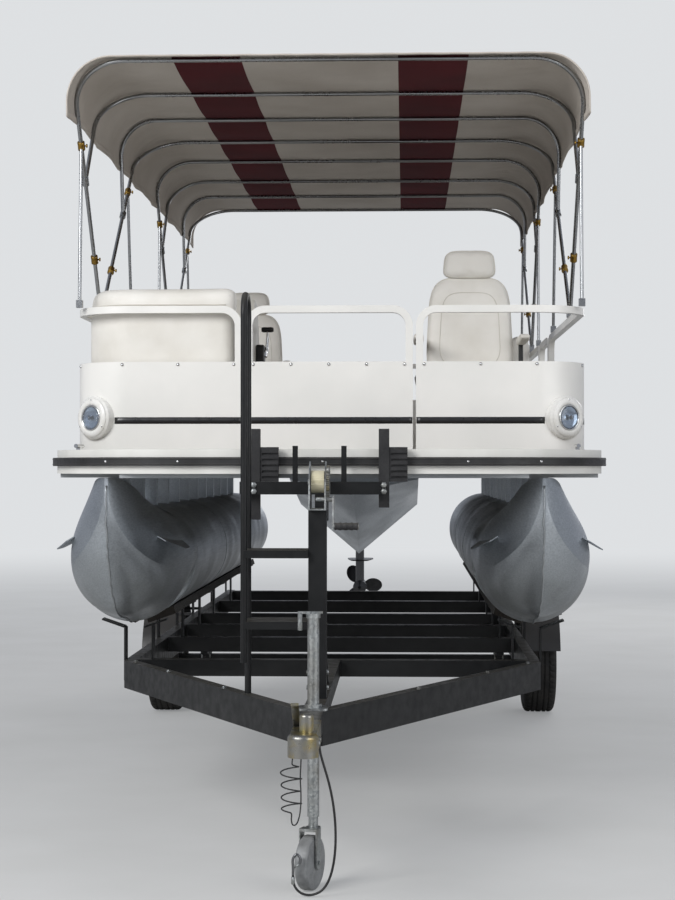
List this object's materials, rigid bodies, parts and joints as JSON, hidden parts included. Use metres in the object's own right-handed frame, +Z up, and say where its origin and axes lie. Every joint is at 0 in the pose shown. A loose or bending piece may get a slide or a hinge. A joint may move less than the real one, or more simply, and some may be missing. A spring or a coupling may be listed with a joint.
{
  "type": "pontoon boat on trailer",
  "caption": "Open pontoon boat with a folding canopy, seats, helm and outboard motor, held on a road trailer that stands on its tongue jack.",
  "frame": {"origin": "on the ground, under the middle of the overall box", "axes": "-Y towards the bow and the trailer's coupler, +X to port, +Z up"},
  "size_m": [2.609, 8.195, 3.37],
  "materials": {
    "hull": "mill-finish aluminium sheet, dull",
    "frame_aluminium": "mill-finish aluminium extrusion",
    "decking": "plywood under woven marine flooring",
    "edge_trim": "white powder coat",
    "rub_rail": "black rubber rub rail",
    "fence": "white baked enamel with a black pinstripe",
    "shell": "moulded off-white plastic",
    "upholstery": "white marine vinyl",
    "black_plastic": "black plastic",
    "bow_tube": "dark anodised tube",
    "canopy": "taupe acrylic canvas with two dark stripes",
    "light": "white bezel with a clear lens",
    "bright_metal": "polished stainless steel",
    "motor_paint": "dark motor paint",
    "motor_cowl": "gloss dark cowl",
    "propeller": "black painted aluminium",
    "trailer_paint": "black powder coat",
    "bunk_carpet": "timber plank wrapped in dark carpet",
    "tyre": "black tyre rubber",
    "rim": "silver painted steel",
    "fender": "black plastic guard",
    "tail_light": "red lens",
    "rubber": "ribbed black rubber",
    "galvanised": "galvanised steel",
    "zinc": "yellow zinc plate",
    "webbing": "cream polyester webbing",
    "wheel_grey": "worn grey caster tyre on a plain hub",
    "cable": "black sleeved cable"
  },
  "bodies": {
    "boat_and_trailer": {"pontoon_starboard": "hull", "pontoon_port": "hull", "deck_members": "frame_aluminium", "deck": "decking", "deck_edge": "edge_trim", "rub_rail": "rub_rail", "fence_bow_starboard": "fence", "fence_bow_port": "fence", "fence_aft_starboard": "fence", "fence_aft_port": "fence", "bow_couch_base": "shell", "bow_couch_cushions": "upholstery", "chair_port_pedestal": "frame_aluminium", "chair_helm_pedestal": "frame_aluminium", "helm_console": "shell", "stern_lounge_base": "shell", "stern_lounge_cushions": "upholstery", "bimini_bows": "bow_tube", "bimini_legs": "bow_tube", "bimini_canopy": "canopy", "docking_lights": "light", "cleats": "bright_metal", "motor_pod": "hull", "motor_clamp": "motor_paint", "trailer_a_frame": "trailer_paint", "trailer_rails": "trailer_paint", "trailer_members": "trailer_paint", "trailer_brackets": "trailer_paint", "trailer_bunks": "bunk_carpet", "trailer_axle": "trailer_paint", "trailer_springs": "trailer_paint", "trailer_fenders": "fender", "tail_lights": "tail_light", "winch_stand": "trailer_paint", "bow_stops": "rubber", "winch": "galvanised", "winch_strap": "webbing", "trailer_ladder": "trailer_paint", "coupler": "zinc", "jack_bracket": "galvanised", "jack_tube": "galvanised", "safety_cable": "cable", "breakaway_cable": "cable"},
    "wheel_starboard": {"tyre_starboard": "tyre", "rim_starboard": "rim"},
    "wheel_port": {"tyre_port": "tyre", "rim_port": "rim"},
    "jack_inner": {"jack_leg": "galvanised"},
    "jack_caster": {"jack_fork": "galvanised"},
    "jack_roller": {"jack_wheel": "wheel_grey"},
    "motor_bracket": {"motor_swivel": "motor_paint"},
    "motor": {"motor_leg": "motor_paint", "motor_cowl": "motor_cowl"},
    "propeller": {"propeller": "propeller"},
    "helm": {"steering_wheel": "black_plastic"},
    "gate_bow": {"gate_bow": "fence"},
    "gate_side": {"gate_side": "fence"},
    "gate_stern": {"gate_stern": "fence"},
    "chair_port": {"chair_port": "upholstery"},
    "chair_helm": {"chair_helm": "upholstery"}
  },
  "joints": [
    {"name": "wheel_starboard_spin", "type": "hinge", "parent": "boat_and_trailer", "child": "wheel_starboard", "pos_m": [-1.187, 1.6825, 0.33], "axis": [1, 0, 0], "continuous": true},
    {"name": "wheel_port_spin", "type": "hinge", "parent": "boat_and_trailer", "child": "wheel_port", "pos_m": [1.187, 1.6825, 0.33], "axis": [1, 0, 0], "continuous": true},
    {"name": "jack_lift", "type": "slide", "parent": "boat_and_trailer", "child": "jack_inner", "axis": [0, 0, -1], "range_m": [0, 0.25]},
    {"name": "jack_caster_swivel", "type": "hinge", "parent": "jack_inner", "child": "jack_caster", "pos_m": [0, -3.3575, 0.221], "axis": [0, 0, 1], "continuous": true},
    {"name": "jack_wheel_spin", "type": "hinge", "parent": "jack_caster", "child": "jack_roller", "pos_m": [-0.01082, -3.39079, 0.1], "axis": [0.9511, -0.309, 0], "continuous": true},
    {"name": "motor_tilt", "type": "hinge", "parent": "boat_and_trailer", "child": "motor_bracket", "pos_m": [0, 3.5825, 1.48], "axis": [1, 0, 0], "range_deg": [0, 60]},
    {"name": "motor_steer", "type": "hinge", "parent": "motor_bracket", "child": "motor", "pos_m": [0, 3.6175, 1.3], "axis": [0, 0, 1], "range_deg": [-30, 30]},
    {"name": "propeller_spin", "type": "hinge", "parent": "motor", "child": "propeller", "pos_m": [0, 3.9295, 0.665], "axis": [0, 1, 0], "continuous": true},
    {"name": "helm_turn", "type": "hinge", "parent": "boat_and_trailer", "child": "helm", "pos_m": [-0.79, 0.4975, 2.38], "axis": [0, 0.8609, 0.5087], "range_deg": [-630, 630]},
    {"name": "gate_bow_swing", "type": "hinge", "parent": "boat_and_trailer", "child": "gate_bow", "pos_m": [-0.382, -1.9295, 1.8], "axis": [0, 0, 1], "range_deg": [0, 90]},
    {"name": "gate_side_swing", "type": "hinge", "parent": "boat_and_trailer", "child": "gate_side", "pos_m": [1.12, -0.0145, 1.8], "axis": [0, 0, 1], "range_deg": [0, 90]},
    {"name": "gate_stern_swing", "type": "hinge", "parent": "boat_and_trailer", "child": "gate_stern", "pos_m": [-0.243, 2.6445, 1.8], "axis": [0, 0, 1], "range_deg": [0, 90]},
    {"name": "chair_port_swivel", "type": "hinge", "parent": "boat_and_trailer", "child": "chair_port", "pos_m": [0.67, -0.9275, 1.9], "axis": [0, 0, 1], "continuous": true},
    {"name": "chair_helm_swivel", "type": "hinge", "parent": "boat_and_trailer", "child": "chair_helm", "pos_m": [-0.65, 1.2825, 1.9], "axis": [0, 0, 1], "continuous": true}
  ],
  "couplings": [
    {"joint": "helm_turn", "follows": "motor_steer", "ratio": -21}
  ]
}
